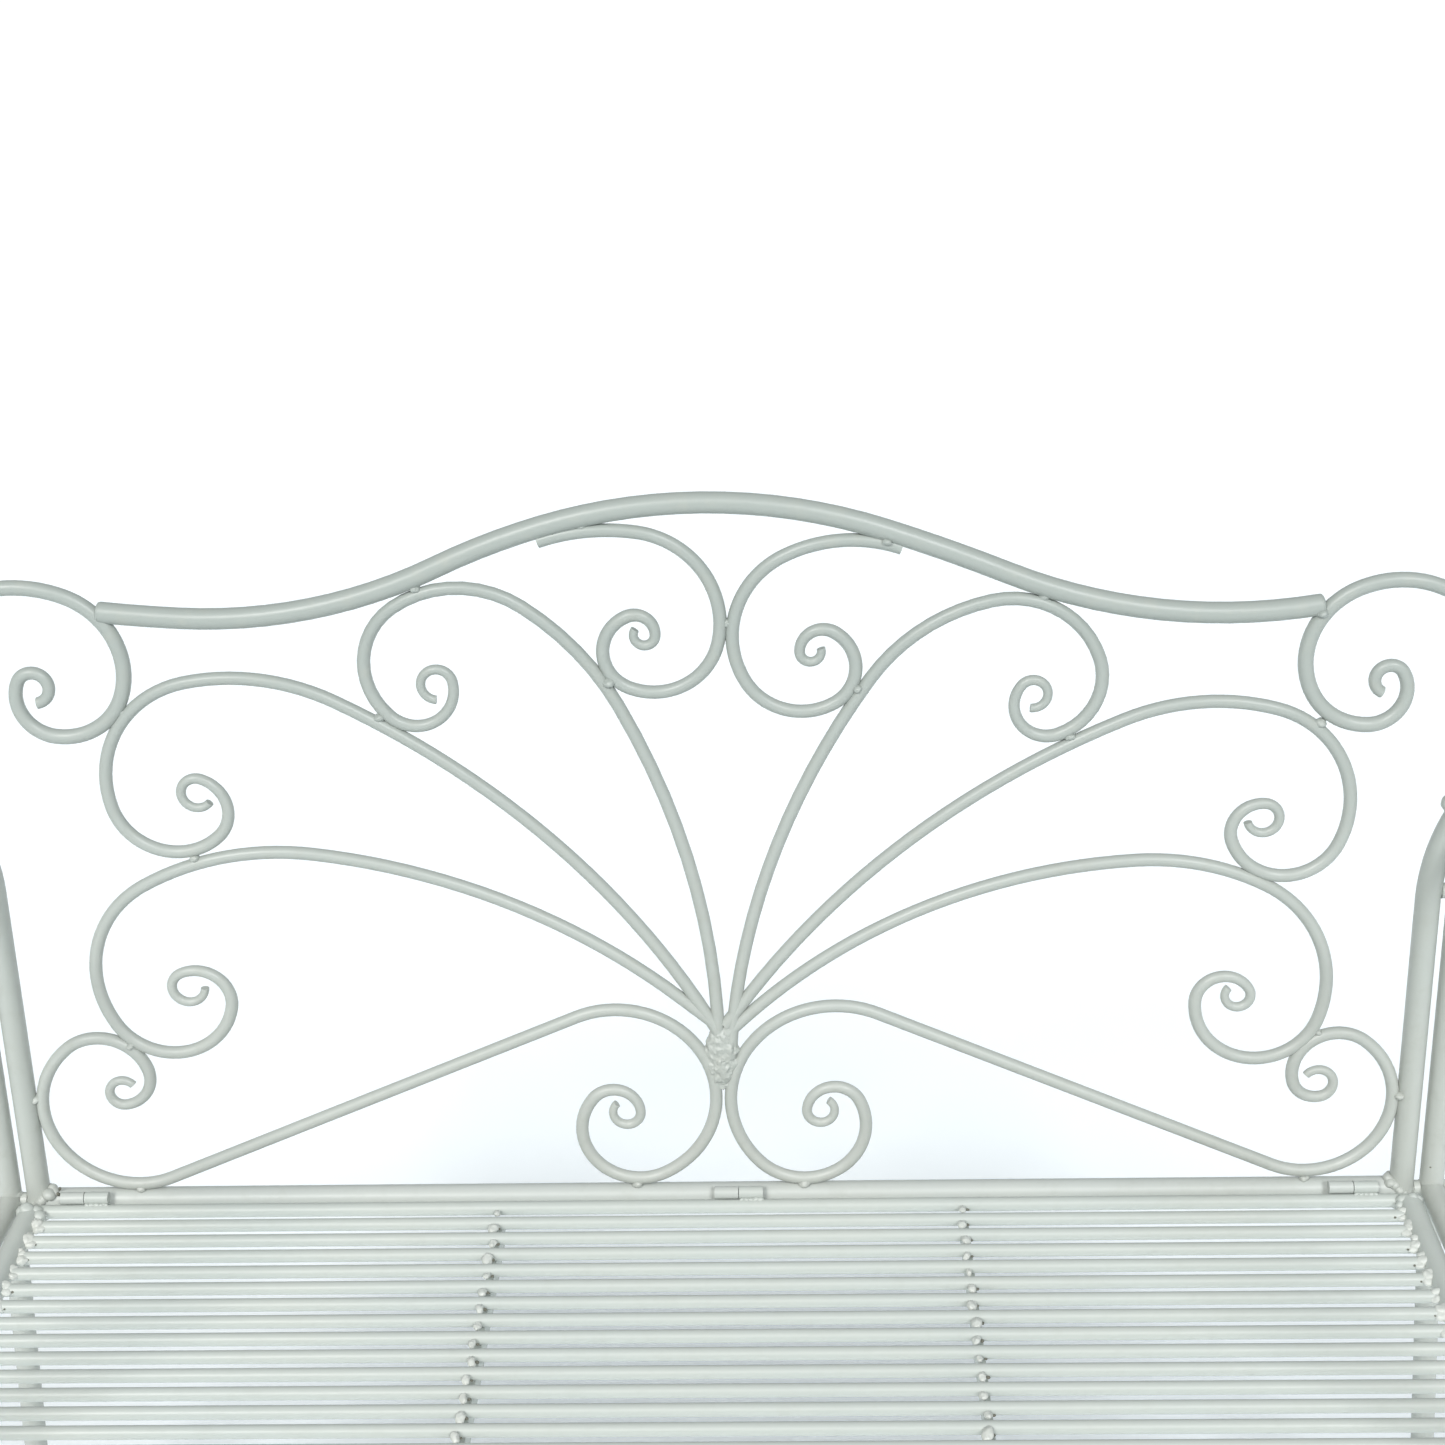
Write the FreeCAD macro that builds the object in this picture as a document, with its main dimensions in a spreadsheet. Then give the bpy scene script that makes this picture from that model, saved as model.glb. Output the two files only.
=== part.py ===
import FreeCAD, Part
import Sketcher
import math
import os

App = FreeCAD
Vector = App.Vector
Rotation = App.Rotation
Placement = App.Placement

# A scrollwork iron daybed: a back panel of hand-bent rods, a hinged seat of
# round rods, and two bolted side frames. X runs along the back, -Y is the
# front, Z is up, and the origin is on the floor under the middle.

doc = App.newDocument("Daybed")
sheet = doc.addObject("Spreadsheet::Sheet", "Sizes")

SIZES = {
    # overall frame
    "post_spread": 1100,
    "rail_height": 420,
    "back_offset": 214.3,
    "panel_lift": 4.5,
    "recline": 3,
    "post_drop": 14,
    "post_flare_left": 272,
    "post_flare_right": 250,
    "post_bend_left": 120,
    "post_bend_right": 160,
    "post_tilt_left": 30,
    "post_tilt_right": 26.3,
    # bar and tube stock
    "tube_dia": 19,
    "tube_wall": 1.5,
    "top_rail_dia": 16,
    "rod_dia": 10,
    "tip_dia": 6.5,
    "corner_rod_dia": 11.5,
    "corner_tip_dia": 9,
    # seat panel
    "seat_rod_pitch": 20,
    "seat_rod_count": 20,
    "seat_rail_dia": 11,
    "seat_rail_overhang": 9,
    "seat_tube_inset": 2,
    "first_rod_gap": 20,
    "cross_bar_width": 6,
    "cross_bar_depth": 20,
    "cross_bar_spread": 370,
    "cross_bar_shift": 14,
    # hinges between the back and the seat
    "hinge_row_gap": 17.5,
    "barrel_dia": 10,
    "barrel_length": 19,
    "barrel_gap": 0.6,
    "pin_dia": 5,
    "pin_clearance": 0.05,
    "hinge_spread": 1017,
    "middle_hinge_x": 20,
    "weld_depth": 0.3,
    "running_gap": 0.3,
    # side frames
    "side_gap": 5,
    "arm_height": 320,
    "arm_bend": 55,
    "leg_splay": 4.7,
    "leg_rake": 18,
    "leg_bend": 200,
    "front_inset": 6,
    "stretcher_dia": 16,
    "stretcher_height": 130,
    "foot_dia": 25,
    "foot_height": 22,
    "foot_socket": 18,
    "bolt_dia": 6,
    "bolt_head_dia": 10,
    "bolt_head_height": 4,
    "bolt_spread": 262,
    "spacer_dia": 12,
    "rivet_nut_dia": 9,
    "rivet_nut_length": 10,
    "rest_tab_thick": 4,
}

for row, (alias, value) in enumerate(SIZES.items(), start=1):
    sheet.set(f"A{row}", alias)
    sheet.set(f"B{row}", str(value))
    sheet.setAlias(f"B{row}", alias)
doc.recompute()


def size(alias):
    """Read one driving dimension from the sheet."""
    return float(sheet.get(alias))


# Frame of the back panel: local x runs along the back, local y runs up the
# reclined panel from just above the bottom rail, local z points to the front.
BACK = Placement(Vector(0, size("back_offset"), size("rail_height") + size("panel_lift")),
                 Rotation(Vector(1, 0, 0), 90 - size("recline")))

# Height line of the seat, level with the bottom rail of the back.
SEAT_Z = size("rail_height")
HINGE_ROW_Y = size("back_offset") - size("hinge_row_gap")
SIDES = ((-1, "left"), (1, "right"))
ALONG_X = Rotation()
ALONG_Y = Rotation(Vector(0, 0, 1), 90)
half_spread = size("post_spread") / 2
tube_radius = size("tube_dia") / 2

subparts = []


def keep(item, label):
    """Name a finished sub-part and put it on the list of nodes."""
    item.Label = label
    subparts.append(item)
    return item


def origin_plane(body, role):
    """Find an origin plane of a body by its role."""
    for feature in body.Origin.OriginFeatures:
        if feature.Role == role:
            return feature
    raise ValueError(role)


def circle_sketch(body, name, radii, role="YZ_Plane"):
    """Sketch concentric circles whose radii follow sheet expressions."""
    sketch = body.newObject("Sketcher::SketchObject", name)
    sketch.AttachmentSupport = [(origin_plane(body, role), "")]
    sketch.MapMode = "FlatFace"
    for index, (guess, expression) in enumerate(radii):
        sketch.addGeometry(Part.Circle(Vector(0, 0, 0), Vector(0, 0, 1), guess))
        sketch.addConstraint(Sketcher.Constraint("Coincident", index, 3, -1, 1))
        sketch.addConstraint(Sketcher.Constraint("Radius", index, guess))
        sketch.setExpression(f"Constraints[{sketch.ConstraintCount - 1}]", expression)
    return sketch


def bar(label, length, middle, turned=ALONG_X, dia="tube_dia", wall=None):
    """A straight round bar or tube centred on a point."""
    body = doc.addObject("PartDesign::Body", "Body_" + label)
    radii = [(size(dia) / 2, f"Sizes.{dia} / 2")]
    if wall:
        radii.append((size(dia) / 2 - size(wall), f"Sizes.{dia} / 2 - Sizes.{wall}"))
    sketch = circle_sketch(body, "Section_" + label, radii)
    pad = body.newObject("PartDesign::Pad", "Pad_" + label)
    pad.Profile = sketch
    pad.Midplane = True
    if isinstance(length, str):
        pad.setExpression("Length", length)
    else:
        pad.Length = length
    body.Placement = Placement(middle, turned)
    return body


def joined(label, shapes):
    """Several shapes fused into one."""
    fused = doc.addObject("Part::MultiFuse", label)
    fused.Shapes = shapes
    return fused


def coped(label, stock, around):
    """Stock with its ends cut to fit round the tubes it is welded to."""
    cut = doc.addObject("Part::Cut", "Coped_" + label)
    cut.Base = stock
    cut.Tool = joined("Around_" + label, around) if len(around) > 1 else around[0]
    return keep(cut, label)


def group(label, solids):
    """Keep a set of like solids as one sub-part."""
    item = doc.addObject("Part::Feature", "Group_" + label)
    item.Shape = Part.makeCompound(solids)
    return keep(item, label)


def arc_path(start, heading, bends):
    """Wire of tangent arcs and lines in the plane of the back panel.

    Each bend is (radius, degrees); a positive turn is to the left, and a
    radius of 0 marks a straight run of the given length.
    """
    edges = []
    point = Vector(start[0], start[1], 0)
    angle = math.radians(heading)
    for radius, amount in bends:
        along = Vector(math.cos(angle), math.sin(angle), 0)
        if radius == 0:
            end = point + along * amount
            edges.append(Part.LineSegment(point, end).toShape())
            point = end
            continue
        turn = math.radians(amount)
        side = math.copysign(1, turn)
        centre = point + Vector(-along.y, along.x, 0) * radius * side
        spokes = [Vector(math.sin(a), -math.cos(a), 0) * radius * side
                  for a in (angle, angle + turn / 2, angle + turn)]
        arc = Part.Arc(*[centre + spoke for spoke in spokes])
        edges.append(arc.toShape())
        point = centre + spokes[2]
        angle += turn
    return Part.Wire(edges)


def rounded_path(corners, radii):
    """Wire of straight runs through 3-D corners, with an arc at each inner one."""
    edges = []
    last = corners[0]
    for before, corner, after, radius in zip(corners, corners[1:], corners[2:], radii):
        inward = (before - corner).normalize()
        outward = (after - corner).normalize()
        half = inward.getAngle(outward) / 2
        reach = radius / math.tan(half)
        first = corner + inward * reach
        second = corner + outward * reach
        bisector = (inward + outward).normalize()
        middle = corner + bisector * (radius / math.sin(half) - radius)
        edges.append(Part.LineSegment(last, first).toShape())
        edges.append(Part.Arc(first, middle, second).toShape())
        last = second
    edges.append(Part.LineSegment(last, corners[-1]).toShape())
    return Part.Wire(edges)


def ring_on(edge, at_end, label, expression):
    """A circle square to the start or the end of an edge."""
    parameter = edge.LastParameter if at_end else edge.FirstParameter
    ring = doc.addObject("Part::Circle", label)
    turned = Rotation(Vector(0, 0, 1), edge.tangentAt(parameter))
    ring.Placement = Placement(edge.valueAt(parameter), turned)
    ring.setExpression("Radius", expression)
    return ring


def sweep(label, edges, start_radius, end_radius):
    """Sweep a circle along tangent edges, growing or shrinking evenly."""
    spine = doc.addObject("Part::Feature", "Path_" + label)
    spine.Shape = Part.Wire(edges)
    result = doc.addObject("Part::Sweep", "Sweep_" + label)
    result.Sections = [ring_on(edges[0], False, "First_" + label, start_radius),
                       ring_on(edges[-1], True, "Last_" + label, end_radius)]
    result.Spine = (spine, [f"Edge{i + 1}" for i in range(len(edges))])
    result.Solid = True
    result.Frenet = False
    return result


def bent_tube(label, path, dia="tube_dia", holes=()):
    """A hollow tube along a path: the outer sweep less its bore and holes."""
    outer_radius = f"Sizes.{dia} / 2"
    bore_radius = f"Sizes.{dia} / 2 - Sizes.tube_wall"
    outer = sweep(label + "_outer", path.Edges, outer_radius, outer_radius)
    inside = sweep(label + "_bore", path.Edges, bore_radius, bore_radius)
    cut = doc.addObject("Part::Cut", "Cut_" + label)
    cut.Base = outer
    cut.Tool = joined("Inside_" + label, [inside, *holes]) if holes else inside
    keep(cut, label)
    return outer


def tapered_rod(label, path, stock, tip, tail, head=0):
    """A solid rod whose last edges, and first ones if asked, are drawn down."""
    full = f"Sizes.{stock} / 2"
    thin = f"Sizes.{tip} / 2"
    edges = path.Edges
    runs = [(edges[head:len(edges) - tail], full, full), (edges[len(edges) - tail:], full, thin)]
    if head:
        runs.append((edges[:head], thin, full))
    pieces = [sweep(f"{label}_{number}", *run) for number, run in enumerate(runs)]
    return keep(joined("Rod_" + label, pieces), label)


def scroll(label, start, heading, bends, stock="rod_dia", tip="tip_dia", head=0):
    """A forged scroll in the plane of the back, drawn down over its curl."""
    path = arc_path(start, heading, bends)
    path.transformShape(BACK.toMatrix())
    return tapered_rod(label, path, stock, tip, tail=2, head=head)


# ---------------------------------------------------------------- back panel

def joint_points(side):
    """Where the two bolts of one side cross the axis of the back post."""
    lean = math.radians(size("recline"))
    foot = Vector(side * half_spread, size("back_offset"), SEAT_Z)
    up = Vector(0, math.sin(lean), math.cos(lean)) * size("bolt_spread")
    return foot, foot + up


def drilled(label, start, side, length, radius):
    """Drill shape along X for a bolt hole in a tube."""
    hole = doc.addObject("Part::Cylinder", "Drill_" + label)
    hole.setExpression("Radius", radius)
    hole.Height = length
    hole.Placement = Placement(start, Rotation(Vector(0, 0, 1), Vector(side, 0, 0)))
    return hole


def back_posts():
    """Upright tubes that flare outwards under the corner scrolls."""
    foot = -size("panel_lift") - size("post_drop")
    outers = []
    for side, name in SIDES:
        flare_start = size("post_flare_" + name)
        path = arc_path((side * half_spread, foot), 90,
                        [(0, flare_start - foot),
                         (size("post_bend_" + name), -side * size("post_tilt_" + name))])
        path.transformShape(BACK.toMatrix())
        holes = [drilled(f"post_{name}_{number}", joint, side, size("tube_dia"),
                         "Sizes.rivet_nut_dia / 2 + Sizes.pin_clearance")
                 for number, joint in enumerate(joint_points(side))]
        outers.append(bent_tube("back_post_" + name, path, holes=holes))
    return outers


def back_rails(posts):
    """Bottom rail between the posts and the humped top rail."""
    middle = Vector(0, size("back_offset"), SEAT_Z)
    rail = bar("bottom_rail", "Sizes.post_spread", middle, wall="tube_wall")
    coped("back_bottom_rail", rail, posts)
    crest = arc_path((-440, 497), -7,
                     [(1100, 3), (390, 29), (535, -9), (415, -35), (1365, -4), (415, 32)])
    crest.transformShape(BACK.toMatrix())
    bent_tube("top_rail", crest, dia="top_rail_dia")


def back_scrolls():
    """Rods bent by hand, so the left and the right of a pair differ a little."""
    corner = dict(stock="corner_rod_dia", tip="corner_tip_dia")
    scroll("corner_scroll_left", (-563.6, 327.7), 144.9,
           [(104.1, -140.9), (102, -26), (61, -91), (49, -75), (31, -107), (12, -235)], **corner)
    scroll("corner_scroll_right", (564, 316.8), 38.2,
           [(107.2, 118.8), (76, 46), (58, 97), (47, 61), (27, 120), (11, 212)], **corner)
    scroll("crest_scroll_left", (-114.2, 545.5), 18,
           [(154, -27), (70, -95), (49, -99), (30, -134), (15, -118), (8, -209)])
    scroll("crest_scroll_right", (149, 536), 160,
           [(109, 46), (69, 94), (48, 89), (32, 120), (17, 121), (8, 197)])
    scroll("upper_feather_scroll_left", (7, 136), 90,
           [(620, 27), (215, 28), (84, 69), (55, 101), (29, 147), (12, 253)])
    scroll("upper_feather_scroll_right", (17, 135), 85,
           [(620, -30), (144, -43), (69, -84), (47, -88), (25, -147), (11, -242)])
    scroll("middle_feather_scroll_left", (8.5, 140), 119,
           [(0, 20), (670, 33), (169, 39), (83, 92), (48, 120), (28, 117), (12, 250)])
    scroll("middle_feather_scroll_right", (12.6, 149.3), 54,
           [(0, 33), (675, -31), (169, -39), (81, -97), (43, -139), (23, -113), (12, -250)])
    scroll("lower_feather_scroll_left", (3, 151.7), 139,
           [(0, 34), (535, 33), (215, 37), (88, 90), (50, 139), (27, 127), (13, 241)])
    scroll("lower_feather_scroll_right", (13, 141), 44,
           [(0, 22), (465, -41), (190, -31), (97, -80), (49, -164), (22, -151), (10, -249)])
    scroll("base_scroll_left", (-461.2, 101), 129,
           [(11, 239), (25, 97), (39, 113), (70, 165), (0, 363), (78, -176),
            (45, -156), (21, -139), (11, -228)], head=2)
    scroll("base_scroll_right", (468, 99.2), 52,
           [(12, -220), (19, -88), (34, -141), (65, -167), (0, 343), (83, 157),
            (49, 164), (22, 149), (11, 239)], head=2)


def hub():
    """The weld that gathers the rods at the foot of the fan."""
    lump = doc.addObject("Part::Ellipsoid", "Hub")
    lump.Radius1 = 8
    lump.Radius2 = 30
    lump.Radius3 = 14
    upright = Rotation(Vector(0, 0, 1), 90)
    lump.Placement = BACK.multiply(Placement(Vector(9, 121, 0), upright))
    keep(lump, "hub_weld")


# ---------------------------------------------------------------- hinges

def valley(to_rail, to_seat, span):
    """Forward and up from the rail to a barrel resting in the valley."""
    forward = (span ** 2 + to_rail ** 2 - to_seat ** 2) / (2 * span)
    return forward, math.sqrt(to_rail ** 2 - forward ** 2)


def knuckle(centre, to_rail, rail_radius):
    """One barrel of a weld-on hinge, with the weld foot that holds it."""
    length = size("barrel_length")
    foot_length, foot_width = 14, 4
    along = Vector(1, 0, 0)
    tube = Part.makeCylinder(size("barrel_dia") / 2, length, centre - along * length / 2, along)
    reach = to_rail.Length - rail_radius + size("weld_depth")
    foot = Part.makeBox(foot_length, foot_width, reach,
                        Vector(-foot_length / 2, -foot_width / 2, 0))
    foot.Placement = Placement(centre, Rotation(along, Vector(), to_rail, "ZXY"))
    bore_radius = size("pin_dia") / 2 + size("pin_clearance")
    bore = Part.makeCylinder(bore_radius, length, centre - along * length / 2, along)
    return tube.fuse(foot).cut(bore).removeSplitter()


def hinges():
    """Three weld-on hinges: outer barrels on the back, inner ones on the seat."""
    barrel_radius = size("barrel_dia") / 2
    seat_radius = size("seat_rail_dia") / 2
    standoff = barrel_radius + size("running_gap")
    forward, up = valley(tube_radius + standoff, seat_radius + standoff, size("hinge_row_gap"))
    axis = Vector(0, size("back_offset") - forward, SEAT_Z + up)
    to_rail = Vector(0, forward, -up)
    to_seat = Vector(0, forward - size("hinge_row_gap"), -up)
    shift = Vector((size("barrel_length") + size("barrel_gap")) / 2, 0, 0)
    reach = 2 * size("barrel_length") + size("barrel_gap")
    outer_hinge = size("hinge_spread") / 2
    frame_side, seat_side, pins = [], [], []
    for middle in (-outer_hinge, size("middle_hinge_x"), outer_hinge):
        seam = axis + Vector(middle, 0, 0)
        frame_side.append(knuckle(seam - shift, to_rail, tube_radius))
        seat_side.append(knuckle(seam + shift, to_seat, seat_radius))
        pins.append(Part.makeCylinder(size("pin_dia") / 2, reach,
                                      seam - Vector(reach / 2, 0, 0), Vector(1, 0, 0)))
    group("hinge_barrels_back", frame_side)
    group("hinge_barrels_seat", seat_side)
    group("hinge_pins", pins)


# ---------------------------------------------------------------- seat panel

def seat_rods():
    """The rear rail and the rods; returns the line of the last rod."""
    rear_length = "Sizes.post_spread + 2 * Sizes.seat_rail_overhang"
    rod_length = "Sizes.post_spread + 2 * Sizes.seat_tube_inset - Sizes.tube_dia"
    keep(bar("rear_rail", rear_length, Vector(0, HINGE_ROW_Y, SEAT_Z), dia="seat_rail_dia"),
         "seat_rear_rail")
    for number in range(int(size("seat_rod_count"))):
        y = HINGE_ROW_Y - size("first_rod_gap") - number * size("seat_rod_pitch")
        rod = bar(f"rod_{number + 1:02d}", rod_length, Vector(0, y, SEAT_Z), dia="rod_dia")
        keep(rod, f"seat_rod_{number + 1:02d}")
    return y


def seat_frame(last_rod):
    """Side tubes and front tube that the rods are welded between."""
    front_y = last_rod - size("seat_rod_pitch") - tube_radius + size("rod_dia") / 2
    tube_x = half_spread + size("seat_tube_inset")
    rear_end = HINGE_ROW_Y - size("seat_rail_dia") / 2
    front_end = front_y - tube_radius
    sides = []
    for side, name in SIDES:
        middle = Vector(side * tube_x, (rear_end + front_end) / 2, SEAT_Z)
        tube = bar("side_tube_" + name, rear_end - front_end, middle, ALONG_Y, wall="tube_wall")
        keep(tube, "seat_side_tube_" + name)
        solid = doc.addObject("Part::Cylinder", "Solid_side_tube_" + name)
        solid.setExpression("Radius", "Sizes.tube_dia / 2")
        solid.Height = rear_end - front_end
        solid.Placement = Placement(Vector(side * tube_x, front_end, SEAT_Z),
                                    Rotation(Vector(0, 0, 1), Vector(0, 1, 0)))
        sides.append(solid)
    front_length = "Sizes.post_spread + 2 * Sizes.seat_tube_inset"
    front = bar("front_rail", front_length, Vector(0, front_y, SEAT_Z), wall="tube_wall")
    coped("seat_front_rail", front, sides)
    return front_y


def cross_bars(front_y):
    """Two flat bars under the rods, welded to every one."""
    rear = HINGE_ROW_Y - size("seat_rail_dia") / 2
    front = front_y + tube_radius
    low = SEAT_Z - size("rod_dia") / 2 - size("cross_bar_depth")
    for side, name in SIDES:
        strip = doc.addObject("Part::Box", "Strip_" + name)
        strip.setExpression("Length", "Sizes.cross_bar_width")
        strip.setExpression("Height", "Sizes.cross_bar_depth")
        strip.Width = rear - front
        middle = side * size("cross_bar_spread") / 2 + size("cross_bar_shift")
        strip.Placement = Placement(Vector(middle - size("cross_bar_width") / 2, front, low),
                                    Rotation())
        keep(strip, "seat_cross_bar_" + name)


# ---------------------------------------------------------------- side frames

SIDE_X = half_spread + size("tube_dia") + size("side_gap")
LEG_DROP = SEAT_Z - size("foot_height") + size("foot_socket")


def hoop_corners(side, fore_y):
    """Corners of a bent side tube from the front foot round to the rear foot."""
    rear_y = size("back_offset")
    lean = size("arm_height") * math.tan(math.radians(size("recline")))
    arm_z = SEAT_Z + size("arm_height")
    foot_x = SIDE_X + LEG_DROP * math.tan(math.radians(size("leg_splay")))
    rake = size("leg_rake")
    return [
        Vector(side * foot_x, fore_y - rake, SEAT_Z - LEG_DROP),
        Vector(side * SIDE_X, fore_y, SEAT_Z),
        Vector(side * SIDE_X, fore_y, arm_z),
        Vector(side * SIDE_X, rear_y + lean, arm_z),
        Vector(side * SIDE_X, rear_y, SEAT_Z),
        Vector(side * foot_x, rear_y + rake, SEAT_Z - LEG_DROP),
    ]


def side_frame(side, name, fore_y):
    """One arm and pair of legs, with its seat-level rail and low stretcher."""
    corners = hoop_corners(side, fore_y)
    arm, leg = size("arm_bend"), size("leg_bend")
    start = Vector(side * tube_radius, 0, 0)
    holes = [drilled(f"hoop_{name}_{number}", joint + start, side, 2 * size("tube_dia"),
                     "Sizes.bolt_dia / 2 + Sizes.pin_clearance")
             for number, joint in enumerate(joint_points(side))]
    hoop = bent_tube("side_hoop_" + name, rounded_path(corners, [leg, arm, arm, leg]),
                     holes=holes)
    middle_y = (size("back_offset") + fore_y) / 2
    span = size("back_offset") - fore_y
    rail = bar("side_bar_" + name, span, Vector(side * SIDE_X, middle_y, SEAT_Z), ALONG_Y,
               wall="tube_wall")
    coped("side_rail_" + name, rail, [hoop])
    below = SEAT_Z - size("stretcher_height")
    low_x = SIDE_X + below * math.tan(math.radians(size("leg_splay")))
    low_span = span + 2 * size("leg_rake") * below / LEG_DROP
    low_middle = Vector(side * low_x, middle_y, size("stretcher_height"))
    low = bar("low_bar_" + name, low_span, low_middle, ALONG_Y, dia="stretcher_dia",
              wall="tube_wall")
    coped("side_stretcher_" + name, low, [hoop])


def foot_cap(end, previous):
    """A closed plastic cap pushed over the end of a leg."""
    downward = (end - previous).normalize()
    height = size("foot_height")
    cap = Part.makeCylinder(size("foot_dia") / 2, height, Vector(end.x, end.y, 0))
    leg = Part.makeCylinder(tube_radius, 2 * height, end, downward * -1)
    return cap.cut(leg)


def bolted_joint(joint, side):
    """Bolt, spacer and rivet nut that clamp a side hoop to a back post."""
    outward = Vector(side, 0, 0)
    radius = size("bolt_dia") / 2
    post_face = joint + outward * tube_radius
    hoop_face = post_face + outward * (size("side_gap") + size("tube_dia"))
    nut_end = post_face - outward * size("rivet_nut_length")
    grip = (hoop_face - nut_end).Length
    shank = Part.makeCylinder(radius, grip, nut_end, outward)
    head = Part.makeCylinder(size("bolt_head_dia") / 2, size("bolt_head_height"),
                             hoop_face, outward)
    hole = Part.makeCylinder(radius + size("pin_clearance"), grip, nut_end, outward)
    spacer = Part.makeCylinder(size("spacer_dia") / 2, size("side_gap"), post_face, outward)
    nut = Part.makeCylinder(size("rivet_nut_dia") / 2, size("rivet_nut_length"),
                            nut_end, outward)
    return shank.fuse(head).removeSplitter(), spacer.cut(hole), nut.cut(hole)


def rest_tab(side, y):
    """A lug welded under the side rail, which the seat comes down on."""
    length, outer_x, inner_x = 36, SIDE_X + 2, SIDE_X - 26
    block_x = SIDE_X - 6
    thick = size("rest_tab_thick")
    top = SEAT_Z - tube_radius - size("running_gap")
    plate = Part.makeBox(outer_x - inner_x, length, thick, Vector(inner_x, 0, top - thick))
    block = Part.makeBox(outer_x - block_x, length, thick, Vector(block_x, 0, top))
    rail = Part.makeCylinder(tube_radius, length, Vector(SIDE_X, 0, SEAT_Z), Vector(0, 1, 0))
    tab = plate.fuse(block).cut(rail).removeSplitter()
    if side < 0:
        tab = tab.mirror(Vector(), Vector(1, 0, 0))
    tab.translate(Vector(0, y - length / 2, 0))
    return tab


def side_frames(fore_y):
    """Both side frames with their feet, bolts and seat rests."""
    feet, joints, tabs = [], [], []
    for side, name in SIDES:
        side_frame(side, name, fore_y)
        corners = hoop_corners(side, fore_y)
        feet += [foot_cap(corners[0], corners[1]), foot_cap(corners[-1], corners[-2])]
        joints += [bolted_joint(joint, side) for joint in joint_points(side)]
        tabs += [rest_tab(side, size("back_offset") - 130), rest_tab(side, fore_y + 90)]
    bolts, spacers, nuts = zip(*joints)
    group("foot_caps", feet)
    group("side_bolts", bolts)
    group("side_spacers", spacers)
    group("side_rivet_nuts", nuts)
    group("seat_rest_tabs", tabs)


def check_and_write():
    """Recompute, test every object and write each sub-part to its own file."""
    doc.recompute()
    for item in doc.Objects:
        if "Invalid" in item.State or "Error" in item.State:
            raise RuntimeError(f"{item.Name} failed: {item.State}")
    os.makedirs("parts", exist_ok=True)
    for item in subparts:
        shape = item.Shape
        if shape.isNull() or not shape.isValid() or not shape.Solids:
            raise RuntimeError(f"{item.Label} has no valid solid")
        shape.exportStep(f"parts/{item.Label}.step")
    print(len(subparts), "nodes written")


back_rails(back_posts())
back_scrolls()
hub()
hinges()
FRONT_Y = seat_frame(seat_rods())
cross_bars(FRONT_Y)
side_frames(FRONT_Y + size("front_inset"))
check_and_write()
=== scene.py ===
import math

import bmesh
import bpy
from mathutils import Matrix, Vector
from mathutils.bvhtree import BVHTree


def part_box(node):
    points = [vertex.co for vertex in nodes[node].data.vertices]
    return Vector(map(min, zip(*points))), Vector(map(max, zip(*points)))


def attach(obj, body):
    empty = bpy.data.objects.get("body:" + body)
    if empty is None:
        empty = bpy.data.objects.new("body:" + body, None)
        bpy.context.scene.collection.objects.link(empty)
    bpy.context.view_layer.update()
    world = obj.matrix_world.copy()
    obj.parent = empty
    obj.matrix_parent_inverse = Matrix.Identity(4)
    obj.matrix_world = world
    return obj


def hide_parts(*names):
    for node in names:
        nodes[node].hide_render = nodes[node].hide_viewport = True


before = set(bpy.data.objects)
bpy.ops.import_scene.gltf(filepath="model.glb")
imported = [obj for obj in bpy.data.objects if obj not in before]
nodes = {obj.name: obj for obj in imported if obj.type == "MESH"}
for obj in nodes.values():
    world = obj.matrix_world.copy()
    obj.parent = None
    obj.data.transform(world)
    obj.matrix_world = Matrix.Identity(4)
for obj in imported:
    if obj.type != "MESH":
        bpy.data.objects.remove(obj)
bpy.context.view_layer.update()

# Back panel and side frames. Round steel tube and rod, bent cold, welded, then
# dipped in a thick off-white enamel that pools at the welds and thins on the
# crowns of the rods.


class Wire:
    """An output of a node. Adding, multiplying or comparing it adds Math nodes."""

    def __init__(self, graph, socket):
        self.graph = graph
        self.socket = socket

    def maths(self, operation, *values):
        return self.graph.node("ShaderNodeMath", {"operation": operation},
                               dict(enumerate(values)))

    def __add__(self, other):
        return self.maths("ADD", self, other)

    def __sub__(self, other):
        return self.maths("SUBTRACT", self, other)

    def __rsub__(self, other):
        return self.maths("SUBTRACT", other, self)

    def __mul__(self, other):
        return self.maths("MULTIPLY", self, other)

    def __gt__(self, other):
        return self.maths("GREATER_THAN", self, other)

    def __lt__(self, other):
        return self.maths("LESS_THAN", self, other)

    __radd__ = __add__
    __rmul__ = __mul__


class Graph:
    """A node tree that is filled one node at a time."""

    def __init__(self, tree):
        self.tree = tree

    def node(self, kind, settings=None, sockets=None, output=0):
        """Adds a node, makes its settings, then fills or links its sockets."""
        made = self.tree.nodes.new(kind)
        for name, value in (settings or {}).items():
            setattr(made, name, value)
        for name, value in (sockets or {}).items():
            if isinstance(value, Wire):
                self.tree.links.new(value.socket, made.inputs[name])
            else:
                made.inputs[name].default_value = value
        return Wire(self, made.outputs[output])

    def end(self, kind, socket, wire):
        """Adds the tree's last node and links one wire to it."""
        self.tree.links.new(wire.socket, self.tree.nodes.new(kind).inputs[socket])


def paint_graph(name):
    """An empty material, and the tree to fill."""
    material = bpy.data.materials.new(name)
    material.use_nodes = True
    material.node_tree.nodes.clear()
    return material, Graph(material.node_tree)


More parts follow.
